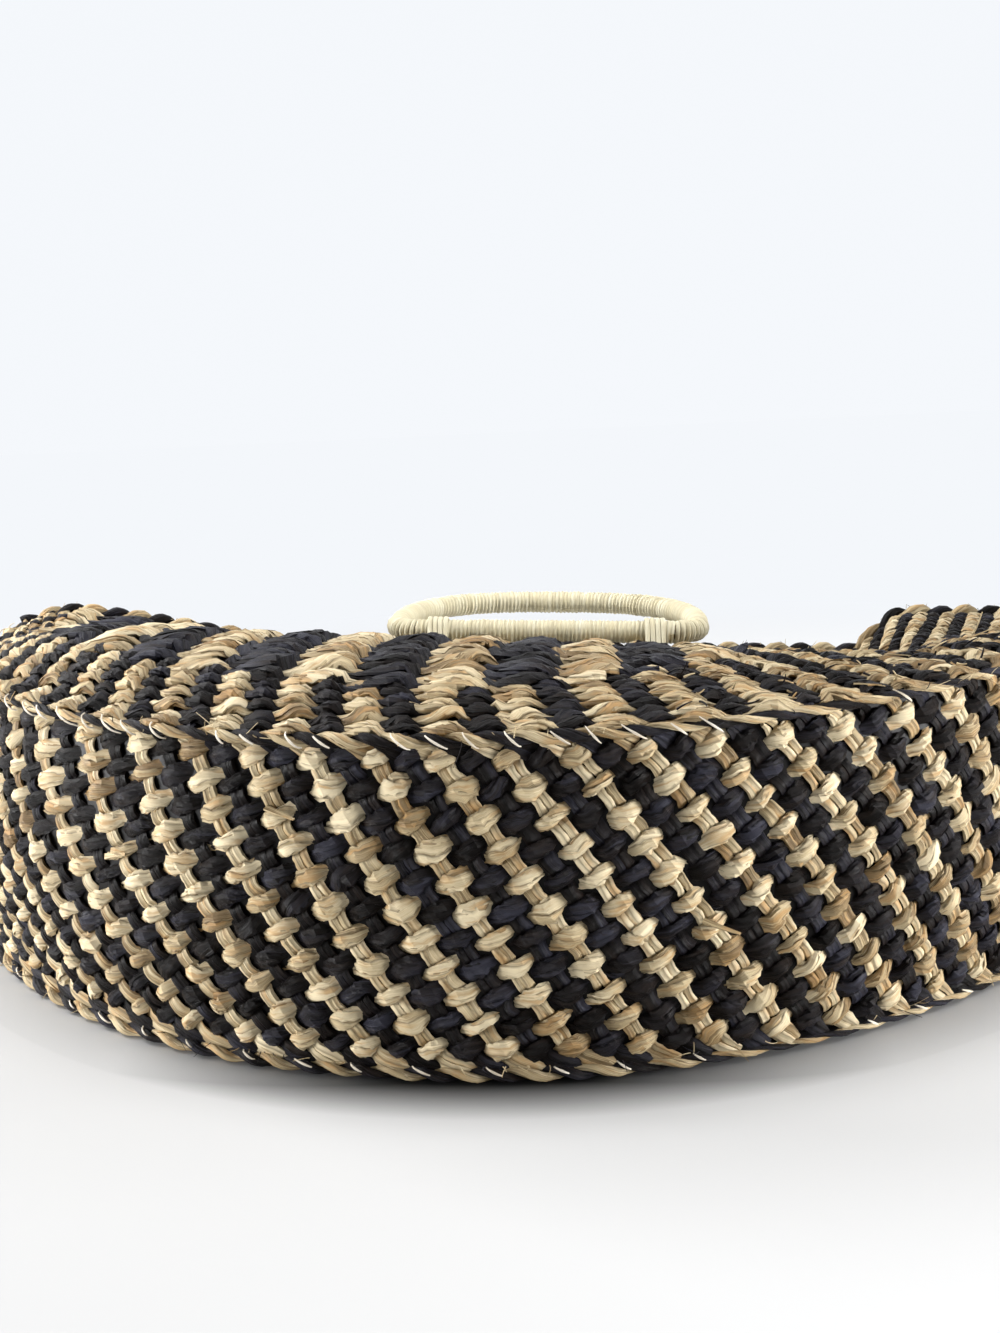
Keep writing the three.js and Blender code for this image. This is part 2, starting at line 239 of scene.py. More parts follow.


# Procedural materials, with a grain along each strand and painted shade in the creases between its plies
FIBRE_GRAIN, PATCH_GRAIN, GRAIN_ROUGH, GRAIN_HEIGHT = (0.06, 2.1, 7.3), (0.07, 0.10, 5.9), 0.55, 0.0006
FIBRE_DETAIL, PATCH_DETAIL = 6, 3
FIBRE_PART, TONE_PART = 0.62, 0.38
DARK_AT, MID_AT, LIGHT_AT = 0.33, 0.48, 0.66
STAIN_FROM, STAIN_FULL, STAIN_MOST = 0.50, 0.67, 0.75
# Painted shade in the creases: how sharply it falls off and how dark it is against the darkest straw
CREASE_POWER, CREASE_SHADE_DARK = 2.5, 0.35
SMOOTH_AT, ROUGH_AT = 0.3, 0.7


def new_material(name):
    material = bpy.data.materials.new(name)
    material.use_nodes = True
    tree = material.node_tree
    return material, tree, tree.nodes["Principled BSDF"]


def straw_material(name, dark, mid, light, stain, rough, bump, specular=0.5, crease_shade_depth=0.75):
    material, tree, shader = new_material(name)
    new, link = tree.nodes.new, tree.links.new
    mark = new("ShaderNodeAttribute")
    mark.attribute_name = "strand"

    def noise(stretch, detail):
        place = new("ShaderNodeMapping")
        place.inputs["Scale"].default_value = stretch
        link(mark.outputs["Vector"], place.inputs["Vector"])
        node = new("ShaderNodeTexNoise")
        node.inputs["Scale"].default_value = 1.0
        node.inputs["Detail"].default_value = detail
        node.inputs["Roughness"].default_value = GRAIN_ROUGH
        link(place.outputs["Vector"], node.inputs["Vector"])
        return node.outputs["Fac"]

    fibre = noise(FIBRE_GRAIN, FIBRE_DETAIL)
    patch = noise(PATCH_GRAIN, PATCH_DETAIL)
    tone = new("ShaderNodeAttribute")
    tone.attribute_name = "tone"
    tone = tone.outputs["Fac"]

    def math_node(kind, a, b):
        node = new("ShaderNodeMath")
        node.operation = kind
        for socket, value in zip(node.inputs, (a, b)):
            if isinstance(value, (int, float)):
                socket.default_value = value
            else:
                link(value, socket)
        return node.outputs[0]

    mixed = math_node("ADD", math_node("MULTIPLY", fibre, FIBRE_PART), math_node("MULTIPLY", tone, TONE_PART))
    ramp = new("ShaderNodeValToRGB")
    stops = ramp.color_ramp.elements
    stops[0].position, stops[0].color = DARK_AT, (*dark, 1)
    stops[1].position, stops[1].color = LIGHT_AT, (*light, 1)
    stops.new(MID_AT).color = (*mid, 1)
    link(mixed, ramp.inputs["Fac"])
    spread = new("ShaderNodeMapRange")
    spread.inputs["From Min"].default_value, spread.inputs["From Max"].default_value = STAIN_FROM, STAIN_FULL
    spread.inputs["To Max"].default_value = STAIN_MOST
    link(patch, spread.inputs["Value"])
    colour = new("ShaderNodeMix")
    colour.data_type = "RGBA"
    link(spread.outputs["Result"], colour.inputs["Factor"])
    link(ramp.outputs["Color"], colour.inputs["A"])
    colour.inputs["B"].default_value = (*stain, 1)
    # Painted shade: the colour darkens towards the sides of each ply
    crease_shade = new("ShaderNodeAttribute")
    crease_shade.attribute_name = "crease_shade"
    fade = math_node("MULTIPLY", math_node("POWER", crease_shade.outputs["Fac"], CREASE_POWER), crease_shade_depth)
    shaded = new("ShaderNodeMix")
    shaded.data_type = "RGBA"
    link(fade, shaded.inputs["Factor"])
    link(colour.outputs["Result"], shaded.inputs["A"])
    shaded.inputs["B"].default_value = (*[CREASE_SHADE_DARK * v for v in dark], 1)
    link(shaded.outputs["Result"], shader.inputs["Base Color"])
    gloss = new("ShaderNodeMapRange")
    gloss.inputs["From Min"].default_value, gloss.inputs["From Max"].default_value = SMOOTH_AT, ROUGH_AT
    gloss.inputs["To Min"].default_value, gloss.inputs["To Max"].default_value = rough[0], rough[1]
    link(fibre, gloss.inputs["Value"])
    link(gloss.outputs["Result"], shader.inputs["Roughness"])
    raised = new("ShaderNodeBump")
    raised.inputs["Strength"].default_value = bump
    raised.inputs["Distance"].default_value = GRAIN_HEIGHT
    link(fibre, raised.inputs["Height"])
    link(raised.outputs["Normal"], shader.inputs["Normal"])
    shader.inputs["Specular IOR Level"].default_value = specular
    return material


natural = straw_material(
    "natural_straw", dark=(0.165, 0.10, 0.037), mid=(0.475, 0.373, 0.213), light=(0.72, 0.61, 0.405),
    stain=(0.44, 0.250, 0.088), rough=(0.50, 0.70), bump=0.7, specular=0.28, crease_shade_depth=0.66,
)
black = straw_material(
    "black_straw", dark=(0.0022, 0.0013, 0.0009), mid=(0.0105, 0.0083, 0.0079), light=(0.032, 0.032, 0.045),
    stain=(0.019, 0.013, 0.010), rough=(0.22, 0.60), bump=1.0, specular=0.10,
)
twine = straw_material(
    "handle_twine", dark=(0.57, 0.51, 0.35), mid=(0.70, 0.65, 0.48), light=(0.80, 0.77, 0.63),
    stain=(0.63, 0.56, 0.37), rough=(0.6, 0.8), bump=0.5, specular=0.25, crease_shade_depth=0.1,
)
thread = straw_material(
    "sewing_thread", dark=(0.48, 0.42, 0.32), mid=(0.66, 0.60, 0.50), light=(0.78, 0.73, 0.65),
    stain=(0.56, 0.48, 0.36), rough=(0.6, 0.8), bump=0.5, specular=0.25, crease_shade_depth=0.0,
)
BOTH = (natural, black)
SLOTS = ("natural_straw", "black_straw")


# A plaited sheet: two sets of strands, both in turns of natural and black
WEFT_PLIES = dict(plies=4, sides=6, off=0.52, radial=0.42, tangent=0.74, rough=0.2)
WARP_PLIES = dict(plies=2, sides=6, off=0.5, radial=0.56, tangent=1.0, rough=0.07)
CROSSING_UNEVEN, CROSSING_SHARP, RAMP_PART = 0.07, 1.7, 1.2
RIGHT_HANDED, WEFT_TWIST, WEFT_UNEVEN, WARP_UNEVEN = 0.8, (0.11, 0.19), 0.5, 0.18
STRAND_TONE, CROSSING_TONE, END_WIDTH, END_POINTS = 0.16, 0.2, 0.55, 2
WARP_POINTS, SHORTEST_RUN, PLAIT_SHARP, FIRST_TWIST, FAR_BELOW = 4, 4, 26, 6, -1e3


def wobble(count, size, smooth=3):
    raw = rng.normal(0, size, count + 2 * smooth)
    return np.convolve(raw, np.ones(2 * smooth + 1) / (2 * smooth + 1), "valid") * math.sqrt(2 * smooth + 1)


def plait_strand(strands, sheet, facing, kind, index, t, start, flat, other_step, other, size, bend):
    n = len(t)
    at = t / other_step - start
    cells = np.arange(math.floor(at[0]), math.ceil(at[-1]) + 1)
    soft = lambda spread: np.interp(at, cells, rng.normal(0, spread, len(cells)))
    shift = size["shift"] + size.get("bias", 0) * (1 if index % 2 == 0 else -1)
    wave = np.cos(math.pi * (at + index + soft(CROSSING_UNEVEN))) * (1 if kind == "weft" else -1) + shift
    wave = wave / (1 + abs(shift))
    top = np.clip(wave, 0, 1)
    rise = np.tanh(CROSSING_SHARP * wave) / math.tanh(CROSSING_SHARP)
    lean = size["lean"](flat[:, 0]) if "lean" in size else 0.0
    tilt = (at - np.round(at)) * other_step * (soft(size["tilt"]) + lean) * top
    flat = flat + (soft(size["sway"]) + tilt)[:, None] * other[None, :]
    even_width = size["low"] + (size["high"] - size["low"]) * top ** size["swell"]
    half_width = even_width * (1 + soft(size["vary"]))
    even_thick = size["thin"] + (size["thick"] - size["thin"]) * top
    half_thick = even_thick * (1 + soft(size["vary"]))
    ramp = RAMP_PART * size.get("ramp", 0) * lean * (at - np.round(at)) * other_step * top
    height = size["lift"] * rise + size["extra"] * top + ramp
    if kind == "weft":
        hand = 1 if rng.uniform() < RIGHT_HANDED else -1
        first, winding = rng.uniform(0, FIRST_TWIST), hand * t * rng.uniform(*WEFT_TWIST) * size["turns"]
        twist = first + winding + soft(WEFT_UNEVEN)
        shape = WEFT_PLIES
    else:
        twist = soft(WARP_UNEVEN)
        shape = WARP_PLIES
    if kind == "warp" and bend:
        shift, spread, raised = bend(flat[:, 0], flat[:, 1])
        flat = flat + np.stack([shift, np.zeros(n)], -1)
        half_width, height = half_width * spread, height + raised
    ends = np.minimum(np.arange(n), np.arange(n)[::-1])
    half_width = half_width * np.interp(ends, [0, END_POINTS], [END_WIDTH, 1])
    p, q = flat[:, 0], flat[:, 1]
    up = normal_on(sheet, p, q, facing)
    path = sheet(p, q) + up * height[:, None]
    tone = np.clip(size.get("tone", 0.5) + STRAND_TONE * rng.normal() + soft(CROSSING_TONE), 0, 1)
    strands.add(path, up, half_width, half_thick, twist, tone=tone, **shape)


def plait(
    sheet, facing, across, along, gaps, inside, reach, name, node, weft, warp,
    bend=None, parts=1, fine=6, start=0.0,
):
    """across and along are the directions of wefts and warps in flat coordinates, gaps the steps along them.

    weft and warp hold half sizes. Each colour is shared out over that many parts.
    A weft has fine points to a crossing, and the first weft lies start steps from the middle.
    """
    across, along = np.array(across), np.array(along)
    cross = abs(across[0] * along[1] - across[1] * along[0])
    warp_step, weft_step = gaps[0] / cross, gaps[1] / cross
    sets = {}
    n_warp, n_weft = int(reach / warp_step), int(reach / weft_step)
    for kind, count, step, own, other_step, other, per in (
        ("weft", n_weft, weft_step, across, warp_step, along, fine),
        ("warp", n_warp, warp_step, along, weft_step, across, WARP_POINTS),
    ):
        for index in range(-count, count + 1):
            most = int(reach / other_step) * per
            t = np.arange(-most, most + 1) * (other_step / per)
            flat = (index + start * (kind == "weft")) * step * other[None, :] + t[:, None] * own[None, :]
            size = weft if kind == "weft" else warp
            above = flat[:, 1] > size.get("above", FAR_BELOW)
            keep = np.flatnonzero(inside(flat[:, 0], flat[:, 1]) & above)
            for run in np.split(keep, np.flatnonzero(np.diff(keep) > 1) + 1):
                if len(run) < SHORTEST_RUN:
                    continue
                part = 0 if parts == 1 else (abs(index) // 2) % parts
                strands = sets.setdefault((kind, index % 2, part), Strands())
                begin = start * (kind == "warp")
                plait_strand(
                    strands, sheet, facing, kind, index, t[run], begin, flat[run],
                    other_step, other, size, bend,
                )
    shown = node
    for (kind, c, part), strands in sets.items():
        piece = f"{name}_{kind}_{('natural', 'black')[c]}_{part + 1}"
        strands.build(piece, BOTH[c], "bag", SLOTS[c], shown, PLAIT_SHARP)
        shown = None


# The crossed strands deep inside a sheet, as one dark layer along its middle: all black, it stands for those
# strands and is painted shade behind the gaps
def shade_backing(name, points):
    rows, columns = points.shape[:2]
    points = points.reshape(-1, 3) + np.array([0, BASE_Y, 0])
    index = np.arange(rows * columns).reshape(rows, columns)
    quads = np.stack([index[:-1, :-1], index[1:, :-1], index[1:, 1:], index[:-1, 1:]], -1).reshape(-1, 4)
    mesh = bpy.data.meshes.new(name)
    mesh.from_pydata((points * MM).tolist(), [], quads.tolist())
    mesh.materials.append(black)
    obj = bpy.data.objects.new(name, mesh)
    bpy.context.scene.collection.objects.link(obj)
    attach(obj, "bag")


# Where the weaves lie, in millimetres: the band reaches in from the seam, the field starts inside it
EDGE_IN, MOUTH_IN, OVERLAP, PAST_END = 1.5, 0.5, 4, 60
BAND_DEPTH, BACK_BAND_FROM = 172, 8
COARSE_FROM, COARSE_TO, COARSE_DEEPER, COARSE_TURN = 35.0, 105.0, 40, 20
CORNER_FROM, CORNER_INSET, BESIDE_INSET = 158.0, 42.0, 164
GUSSET_LOW, GUSSET_PAST = -4.5, 2.0
# How the columns of strands are shifted, ripple, lean and fan out
BAND_RIPPLES = ((2.2, 0.04, 0.31), (1.6, 0.17, -0.12))
COLUMN_SHIFT, SHIFT_BACK, SHIFT_BACK_PART, WAVY_PART = 12.5, 9, (-40, 120), (60, 150)
BAND_LEAN, BAND_FAN, BAND_LIMITS = 0.31, 0.0025, (-0.2, 0.6)
FIELD_LEAN, FIELD_FAN, FIELD_LIMITS, FAN_REACH, WIDEST = 0.03, 0.0023, (-0.5, 0.5), 80, 0.98
CORNER_LEAN, CORNER_MIDDLE = 0.26, 220


def in_panel(p, q):
    return (inset(p, q) > -WEAVE / 2 + EDGE_IN) & (q < HEIGHT - MOUTH_IN)


# The band of a panel runs along its outline and the field fans out a little from the base
def band_point(p, q):
    waves = sum(size * np.sin(along * p + up * q) for size, along, up in BAND_RIPPLES)
    shift = smoothstep(p, *WAVY_PART) * waves - COLUMN_SHIFT + SHIFT_BACK * smoothstep(p, *SHIFT_BACK_PART)
    lean = np.clip(BAND_LEAN - BAND_FAN * p, *BAND_LIMITS)
    return on_outline(np.clip(p + shift - q * lean, -HALF_LINE, HALF_LINE), -q)


def field_point(p, q):
    base = ROUND_DEPTH * (1 - np.sqrt(1 - np.clip(p / HALF_WIDTH, -WIDEST, WIDEST) ** 2))
    fan = FAN_REACH * (1 - np.exp(-np.maximum(0, q - base) / FAN_REACH))
    return p - COLUMN_SHIFT - fan * np.clip(FIELD_LEAN + FIELD_FAN * p, *FIELD_LIMITS), q


def corner_point(p, q):
    return p + CORNER_LEAN * (q - CORNER_MIDDLE), q


def coarse_from(x):
    return COARSE_FROM + COARSE_DEEPER * smoothstep(x, COARSE_TURN, COARSE_TO)


def in_band(p, q):
    x, y = band_point(p, q)
    under_field = (q > coarse_from(x) + OVERLAP) & (x < COARSE_TO - OVERLAP)
    under_corner = (q > CORNER_INSET + OVERLAP) & (x > CORNER_FROM + OVERLAP)
    within = (q > -WEAVE / 2 + EDGE_IN) & (q < BAND_DEPTH) & (y < HEIGHT - MOUTH_IN)
    return within & (np.abs(p) < HALF_LINE + PAST_END) & ~(under_field | under_corner)


def in_field(p, q):
    x, y = field_point(p, q)
    return in_panel(x, y) & (inset(x, y) > coarse_from(x)) & (x < COARSE_TO)


def in_corner(p, q):
    x, y = corner_point(p, q)
    beside = (x > CORNER_FROM) | ((x > COARSE_TO - OVERLAP) & (inset(x, y) > BESIDE_INSET))
    return in_panel(x, y) & (inset(x, y) > CORNER_INSET) & beside & (x < HALF_WIDTH)


def in_back_band(p, q):
    return in_band(p, q) & (q > BACK_BAND_FROM)


def in_gusset(p, q):
    within = (q > GUSSET_LOW) & (q < GUSSET_AT_BASE + GUSSET_PAST)
    return within & (np.abs(skewed(p, q)) < HALF_LINE - MOUTH_IN)


BACKING_PAST_MOUTH, BACKING_LOW, BACKING_PAST_SEAM = 3, -2, 4.5
FRONT_BACKING_OUT, BACK_BACKING_OUT = WEAVE / 2 - 1, 1.5
GUSSET_GRID, PANEL_GRID = (241, 13), (161, 60)


def gusset_backing():
    along = np.linspace(-HALF_LINE, HALF_LINE, GUSSET_GRID[0])
    up = np.linspace(BACKING_LOW, GUSSET_AT_BASE + BACKING_PAST_SEAM, GUSSET_GRID[1])
    shade_backing("gusset_shade_backing", gusset_sheet(*np.meshgrid(along, up, indexing="ij")))


def panel_backing(name, sheet, out):
    along = np.linspace(-HALF_LINE + STRAIGHT_SIDE, HALF_LINE - STRAIGHT_SIDE, PANEL_GRID[0])
    x, y = on_outline(along, out)
    part = np.linspace(0, 1, PANEL_GRID[1])[None, :]
    p, q = x[:, None] + 0 * part, y[:, None] + (HEIGHT + BACKING_PAST_MOUTH - y[:, None]) * part
    shade_backing(name, sheet(p, q))


# All-black layers inside the gusset and the panels: painted shade seen through the gaps
gusset_backing()
panel_backing("front_shade_backing", front_sheet, FRONT_BACKING_OUT)
panel_backing("back_shade_backing", back_sheet, BACK_BACKING_OUT)

# On the gusset the warps lean over near the seams and lie along them
TOP_TURN, TOP_DEPTH, LOW_TURN, LOW_DEPTH = 4.5, 6.5, 5.5, 9.5
TOP_SHIFT, TOP_MORE, LOW_SHIFT, LOW_LESS, LOW_LESS_PART = 2.0, 7.0, 13.0, 9.0, (30, 110)
TOP_POWER, LOW_POWER, END_SPREAD, END_RAISE = 1.4, 1.8, 0.2, 1.2
WEFT_LEAN, WEFT_LEAN_PART = -0.24, (-60, 160)
PANEL_LEAN, PANEL_LEAN_PART = 0.34, (50, 140)
TURN_LEFT, TURN_RIGHT = (-190, -70), (10, 100)


def seam_turn(p):
    return smoothstep(p, *TURN_LEFT) * (1 - smoothstep(p, *TURN_RIGHT))


def gusset_bend(p, q):
    top = np.clip((q - (GUSSET_AT_BASE - TOP_TURN)) / TOP_DEPTH, 0, 1)
    low = np.clip((LOW_TURN - q) / LOW_DEPTH, 0, 1)
    reach = TOP_SHIFT + TOP_MORE * seam_turn(p)
    shift = (LOW_SHIFT - LOW_LESS * smoothstep(p, *LOW_LESS_PART)) * low**LOW_POWER - reach * top**TOP_POWER
    return shift, 1 + END_SPREAD * np.maximum(top, low), END_RAISE * np.maximum(top, low)


def gusset_lean(p):
    return WEFT_LEAN * smoothstep(p, *WEFT_LEAN_PART)


def panel_lean(p):
    return PANEL_LEAN * (1 - 2 * smoothstep(p, *PANEL_LEAN_PART))


# Half sizes of the strands, in millimetres, and how they cross, lean and vary
WARP_TURN, WEFT_TURN = math.radians(-58), math.radians(32)
GUSSET_WEFT = dict(
    turns=1.0, low=2.9, high=3.7, swell=0.4, thin=1.2, thick=2.5, lift=1.3, extra=0.4, shift=-0.06,
    tilt=0.16, sway=0.3, vary=0.15, lean=gusset_lean, above=0.5,
)
GUSSET_WARP = dict(
    low=3.4, high=3.0, swell=1.0, thin=0.7, thick=1.1, lift=1.2, extra=0.0, shift=0.2,
    tilt=0.03, sway=0.3, vary=0.10,
)
# The band's strands take a darker tone than the rest: painted shade for how the light falls on the band
BAND_WEFT = dict(
    turns=0.9, low=1.4, high=3.7, swell=0.9, thin=1.0, thick=2.1, lift=1.3, extra=0.4, shift=0.2,
    tilt=0.08, sway=0.3, vary=0.17, bias=0.17, lean=panel_lean, ramp=0.45, tone=0.35,
)
BAND_WARP = dict(
    low=2.0, high=2.4, swell=1.0, thin=0.7, thick=0.8, lift=0.6, extra=0.0, shift=-0.2,
    tilt=0.02, sway=0.2, vary=0.10,
)
# The field's strands take a lighter tone: painted light for the light from above
FIELD_WEFT = dict(
    turns=0.7, low=2.2, high=5.8, swell=0.8, thin=1.2, thick=2.6, lift=1.9, extra=0.5, shift=0.25,
    tilt=0.1, sway=0.7, vary=0.19, bias=-0.08, lean=panel_lean, ramp=0.5, tone=0.55,
)
CORNER_WEFT = dict(
    turns=0.9, low=1.6, high=3.4, swell=0.9, thin=0.9, thick=2.0, lift=1.2, extra=0.4, shift=0.2,
    tilt=0.08, sway=0.2, vary=0.12,
)
FIELD_WARP = dict(
    low=3.0, high=4.0, swell=1.0, thin=0.7, thick=0.9, lift=0.8, extra=0.0, shift=-0.25,
    tilt=0.02, sway=0.4, vary=0.10,
)
GUSSET_GAPS, BAND_GAPS, FIELD_GAPS, CORNER_GAPS = (10.4, 6.6), (14.4, 3.35), (28.8, 5.8), (7.2, 4.2)
GUSSET_REACH, BAND_REACH, FIELD_REACH, FIRST_WEFT = 640, 620, 400, -0.9
WEFT_WAY, WARP_WAY = (math.cos(WEFT_TURN), math.sin(WEFT_TURN)), (math.cos(WARP_TURN), math.sin(WARP_TURN))
ACROSS, ALONG = (1, 0), (0, 1)
plait(
    gusset_sheet, 1, WEFT_WAY, WARP_WAY, GUSSET_GAPS, in_gusset, GUSSET_REACH, "gusset", "gusset",
    GUSSET_WEFT, GUSSET_WARP, gusset_bend, parts=3, start=FIRST_WEFT,
)
# The panels have a fine band along the seam, a coarser field inside it and a close corner at the right
for facing, side, lie, region in ((1, "front", front_sheet, in_band), (-1, "back", back_sheet, in_back_band)):
    band = lambda p, q: lie(*band_point(p, q))
    field = lambda p, q: lie(*field_point(p, q))
    corner = lambda p, q: lie(*corner_point(p, q))
    plait(
        band, facing, ACROSS, ALONG, BAND_GAPS, region, BAND_REACH, side + "_band", side + "_panel",
        BAND_WEFT, BAND_WARP, parts=4,
    )
    plait(
        field, facing, ACROSS, ALONG, FIELD_GAPS, in_field, FIELD_REACH, side + "_field", None,
        FIELD_WEFT, FIELD_WARP, parts=2, fine=10,
    )
    plait(
        corner, facing, ACROSS, ALONG, CORNER_GAPS, in_corner, FIELD_REACH, side + "_corner", None,
        CORNER_WEFT, BAND_WARP,
    )


def outward(s):
    x, y = (np.interp(s, line_at, v) for v in (out_x, out_y))
    return np.stack([x, y, np.zeros_like(x)], -1)


# Whip stitches that sew the panels to the gusset
THREAD_HALF, THREAD_FLAT, THREAD_MIDDLE, THREAD_TAPER = 0.5, 0.3, 1.1, 0.6
STITCH_POINTS, STITCH_OUT, STITCH_UNEVEN, STITCH_ROUND = 11, 1.2, 1.4, 0.35
LENGTH_UNEVEN, LEAN_UNEVEN = 0.15, 0.9
FRONT_STITCH_DOWN, BACK_STITCH_UP = 1.0, 2.0
# The part of the stitches that is left out, and how many more at the right of the front
FRONT_LEFT_OUT, BACK_LEFT_OUT, RIGHT_LEFT_OUT, RIGHT_PART = 0.08, 0.15, 0.55, (40, 90)


def whip(name, height, node, rise, lean, reach, step, left_out):
    strands = Strands()
    count = int(2 * HALF_LINE / step)
    for i in range(count):
        s0 = -HALF_LINE + (i + 0.5) * 2 * HALF_LINE / count + rng.normal(0, STITCH_UNEVEN)
        k = np.linspace(-1, 1, STITCH_POINTS) * (1 + LENGTH_UNEVEN * rng.normal())
        if rng.uniform() < left_out(s0):
            continue
        s = np.clip(s0 - k * (lean + LEAN_UNEVEN * rng.normal()), -HALF_LINE, HALF_LINE)
        out = WEAVE / 2 + STITCH_OUT + reach * np.cos(np.clip(k, -1, 1) * math.pi / 2) ** STITCH_ROUND
        x, y = on_outline(s, out)
        path = np.stack([x, y, height(y) + k * rise], -1)
        half_width = THREAD_HALF * (THREAD_MIDDLE - THREAD_TAPER * np.abs(k))
        strands.add(path, outward(s), half_width, THREAD_FLAT)
    strands.build(name, thread, "bag", "sewing_thread", node)


whip(
    "front_stitches", lambda y: border_z(y) - FRONT_STITCH_DOWN, "front_seam",
    rise=2.7, lean=3.1, reach=3.0, step=13.6,
    left_out=lambda s: FRONT_LEFT_OUT + RIGHT_LEFT_OUT * smoothstep(s, *RIGHT_PART),
)
whip(
    "back_stitches", lambda y: back_z(y) + BACK_STITCH_UP, "back_seam",
    rise=1.6, lean=2.4, reach=1.4, step=24.5,
    left_out=lambda s: BACK_LEFT_OUT,
)


# Ropes of two strands, natural and black
ROPE_PLIES, ROPE_SHARP, ROPE_TURN = dict(WEFT_PLIES, rough=0.07), 32, 26
ROPE_REACH, ROPE_HALF, ROPE_SWELL, ROPE_TWIST, ROPE_TONE = 0.44, 0.5, 0.2, 0.5, 0.5
# Each wobble has its size and the points it is smoothed over
ROPE_TURN_WOBBLE, REACH_WOBBLE, THICK_WOBBLE, TONE_WOBBLE = (0.12, 12), (0.05, 8), (0.06, 8), (0.1, 8)


def rope(name, path, guide, radius, phase, node=None):
    ahead = unit(np.gradient(path, axis=0))
    side = unit(np.cross(ahead, guide))
    over = np.cross(side, ahead)
    for c in (0, 1):
        strands = Strands()
        a = 2 * math.pi * phase + math.pi * c + wobble(len(path), *ROPE_TURN_WOBBLE)
        off = side * np.cos(a)[:, None] + over * np.sin(a)[:, None]
        reach = radius * ROPE_REACH * (1 + wobble(len(path), *REACH_WOBBLE))
        swell = ROPE_HALF + ROPE_SWELL * np.clip(np.cos(a), 0, 1)
        thick = radius * swell * (1 + wobble(len(path), *THICK_WOBBLE))
        tone = ROPE_TONE + wobble(len(path), *TONE_WOBBLE)
        strands.add(path + off * reach[:, None], off, thick, thick, ROPE_TWIST * a, tone=tone, **ROPE_PLIES)
        piece = f"{name}_{('natural', 'black')[c]}"
        strands.build(piece, BOTH[c], "bag", SLOTS[c], node if c == 0 else None, ROPE_SHARP)


FORWARD, ABOVE = np.array([0.0, 1.0, 0.0]), np.array([0.0, 0.0, 1.0])
EDGE_POINTS, STRIPE_POINTS, RIM_POINTS, SIDE_POINTS = 640, 400, 420, 60
# The ropes along the seams: how far down they lie, their radius and how far their stripes lag
EDGE_OUT = WEAVE / 2 - 1.0
FRONT_DOWN, FRONT_RADIUS, FRONT_THICKER, FRONT_LAG = 1.2, 2.2, 0.9, -9.0
BACK_DOWN, BACK_RADIUS, BACK_THINNER, BACK_THIN_PART, BACK_LAG = 0.2, 2.9, 1.1, (30, 110), 10.0
s = np.linspace(-HALF_LINE, HALF_LINE, EDGE_POINTS)
STRIPE = 2 * GUSSET_GAPS[0] / math.cos(WEFT_TURN)
flat = np.linspace(-HALF_LINE - PAST_END, HALF_LINE + PAST_END, STRIPE_POINTS)
front_radius = FRONT_RADIUS + FRONT_THICKER * seam_turn(s)
back_radius = BACK_RADIUS - BACK_THINNER * smoothstep(s, *BACK_THIN_PART)
for name, height, radius, q, lag in (
    ("front_edge", lambda y: border_z(y) - FRONT_DOWN, front_radius, GUSSET_AT_BASE, FRONT_LAG),
    ("back_edge", lambda y: back_z(y) - BACK_DOWN, back_radius, 0.0, BACK_LAG),
):
    x, y = on_outline(s, EDGE_OUT)
    stripes = np.interp(s - lag, skewed(flat, q), flat) + q * math.tan(WEFT_TURN)
    rope(name, np.stack([x, y, height(y)], -1), ABOVE, radius, -stripes / STRIPE)
x = np.linspace(-HALF_WIDTH - WEAVE / 2, HALF_WIDTH + WEAVE / 2, RIM_POINTS)
held = np.clip(x, -HALF_WIDTH, HALF_WIDTH)
rim_y, at_mouth = np.full_like(x, RIM_Y), np.full_like(x, HEIGHT)
for name, rim_line in (("front", front_z(held, at_mouth)), ("back", back_z(at_mouth))):
    path = np.stack([x, rim_y, rim_line], -1)
    rope(name + "_rope", path, FORWARD, RIM_RADIUS, x / ROPE_TURN, name + "_rim")
z = np.linspace(back_z(HEIGHT) + RIM_RADIUS, border_z(HEIGHT) - RIM_RADIUS, SIDE_POINTS)
for side_name, side_x in (("left", -HALF_WIDTH), ("right", HALF_WIDTH)):
    path = np.stack([np.full_like(z, side_x), np.full_like(z, RIM_Y), z], -1)
    rope(side_name + "_rope", path, FORWARD, RIM_RADIUS, z / ROPE_TURN, side_name + "_rim")


# Loose fibres along the seams and the mouth, and a few strand ends that stand out
FIBRE_POINTS, FIBRE_TIP, FIBRE_CURL, FLAT_CURL, FLAT_FROM, FLAT_PART = 6, 0.45, 0.35, 0.05, 0.6, 0.35
FIBRE_LENGTHS, SEAM_PART = (0.5, 1.2), 0.95


def frayed(name, groups):
    both = (Strands(), Strands())
    for starts, away, length, half, dark_part, spread in groups:
        for start, out in zip(starts, away):
            way = unit(out + spread * rng.normal(0, 1, 3))
            curl = rng.normal(0, FIBRE_CURL if half < 1 else FLAT_CURL, 3)
            k = np.linspace(0, 1, FIBRE_POINTS)[:, None] * length * rng.uniform(*FIBRE_LENGTHS)
            path = start + way * k + curl * k**2 / length
            up = np.broadcast_to(unit(np.cross(way, rng.normal(0, 1, 3))), path.shape)
            wide = half * np.linspace(1, FIBRE_TIP, FIBRE_POINTS)
            strands = both[int(rng.uniform() < dark_part)]
            strands.add(path, up, wide, wide * (FLAT_PART if half > FLAT_FROM else 1), sides=4)
    for c in (0, 1):
        both[c].build(f"{name}_{('natural', 'black')[c]}", BOTH[c], "bag", SLOTS[c])


def seam_starts(count, height, out):
    s = rng.uniform(-HALF_LINE * SEAM_PART, HALF_LINE * SEAM_PART, count)
    x, y = on_outline(s, out)
    return np.stack([x, y, height(y)], -1), outward(s)


